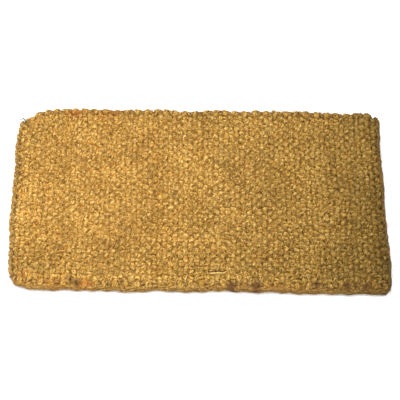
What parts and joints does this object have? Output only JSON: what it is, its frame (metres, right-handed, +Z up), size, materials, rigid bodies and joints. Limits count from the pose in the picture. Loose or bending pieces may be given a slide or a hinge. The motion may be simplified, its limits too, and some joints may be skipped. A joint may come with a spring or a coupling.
{
  "type": "door mat",
  "caption": "Thick rectangular door mat hand-woven from coir yarn in a plain weave, with rounded corners and corded edges; lies flat on a floor, either face up.",
  "frame": {"origin": "on the floor, under the middle of the mat's outline", "axes": "+X along the mat's length, +Y towards the rear edge where the warp loops turn, +Z up out of the tread face"},
  "size_m": [0.762, 0.457, 0.025],
  "materials": {
    "coir_warp": "thick spun coir yarn, golden tan, hairy and matt",
    "coir_weft": "thick spun coir yarn, darker tan where it lies deeper in the weave, hairy and matt",
    "coir_edge_cord": "heavier coir cord with fibres running along it, matt"
  },
  "bodies": {
    "root": {"warp_pair_01": "coir_warp", "warp_pair_02": "coir_warp", "warp_pair_03": "coir_warp", "warp_pair_04": "coir_warp", "warp_pair_05": "coir_warp", "warp_pair_06": "coir_warp", "warp_pair_07": "coir_warp", "warp_pair_08": "coir_warp", "warp_pair_09": "coir_warp", "warp_pair_10": "coir_warp", "warp_pair_11": "coir_warp", "warp_pair_12": "coir_warp", "warp_pair_13": "coir_warp", "warp_pair_14": "coir_warp", "warp_pair_15": "coir_warp", "warp_pair_16": "coir_warp", "warp_pair_17": "coir_warp", "warp_pair_18": "coir_warp", "warp_pair_19": "coir_warp", "warp_pair_20": "coir_warp", "warp_pair_21": "coir_warp", "warp_pair_22": "coir_warp", "warp_pair_23": "coir_warp", "warp_pair_24": "coir_warp", "warp_pair_25": "coir_warp", "warp_pair_26": "coir_warp", "warp_pair_27": "coir_warp", "warp_pair_28": "coir_warp", "warp_pair_29": "coir_warp", "warp_pair_30": "coir_warp", "warp_pair_31": "coir_warp", "warp_pair_32": "coir_warp", "warp_pair_33": "coir_warp", "warp_pair_34": "coir_warp", "warp_pair_35": "coir_warp", "weft_pair_01": "coir_weft", "weft_pair_02": "coir_weft", "weft_pair_03": "coir_weft", "weft_pair_04": "coir_weft", "weft_pair_05": "coir_weft", "weft_pair_06": "coir_weft", "weft_pair_07": "coir_weft", "weft_pair_08": "coir_weft", "weft_pair_09": "coir_weft", "weft_pair_10": "coir_weft", "weft_pair_11": "coir_weft", "weft_pair_12": "coir_weft", "weft_pair_13": "coir_weft", "weft_pair_14": "coir_weft", "weft_pair_15": "coir_weft", "weft_pair_16": "coir_weft", "weft_pair_17": "coir_weft", "weft_pair_18": "coir_weft", "weft_pair_19": "coir_weft", "weft_pair_20": "coir_weft", "weft_pair_21": "coir_weft", "rear_edge_cord": "coir_edge_cord", "front_edge_cord": "coir_edge_cord", "left_edge_cord": "coir_edge_cord", "right_edge_cord": "coir_edge_cord"}
  },
  "joints": []
}
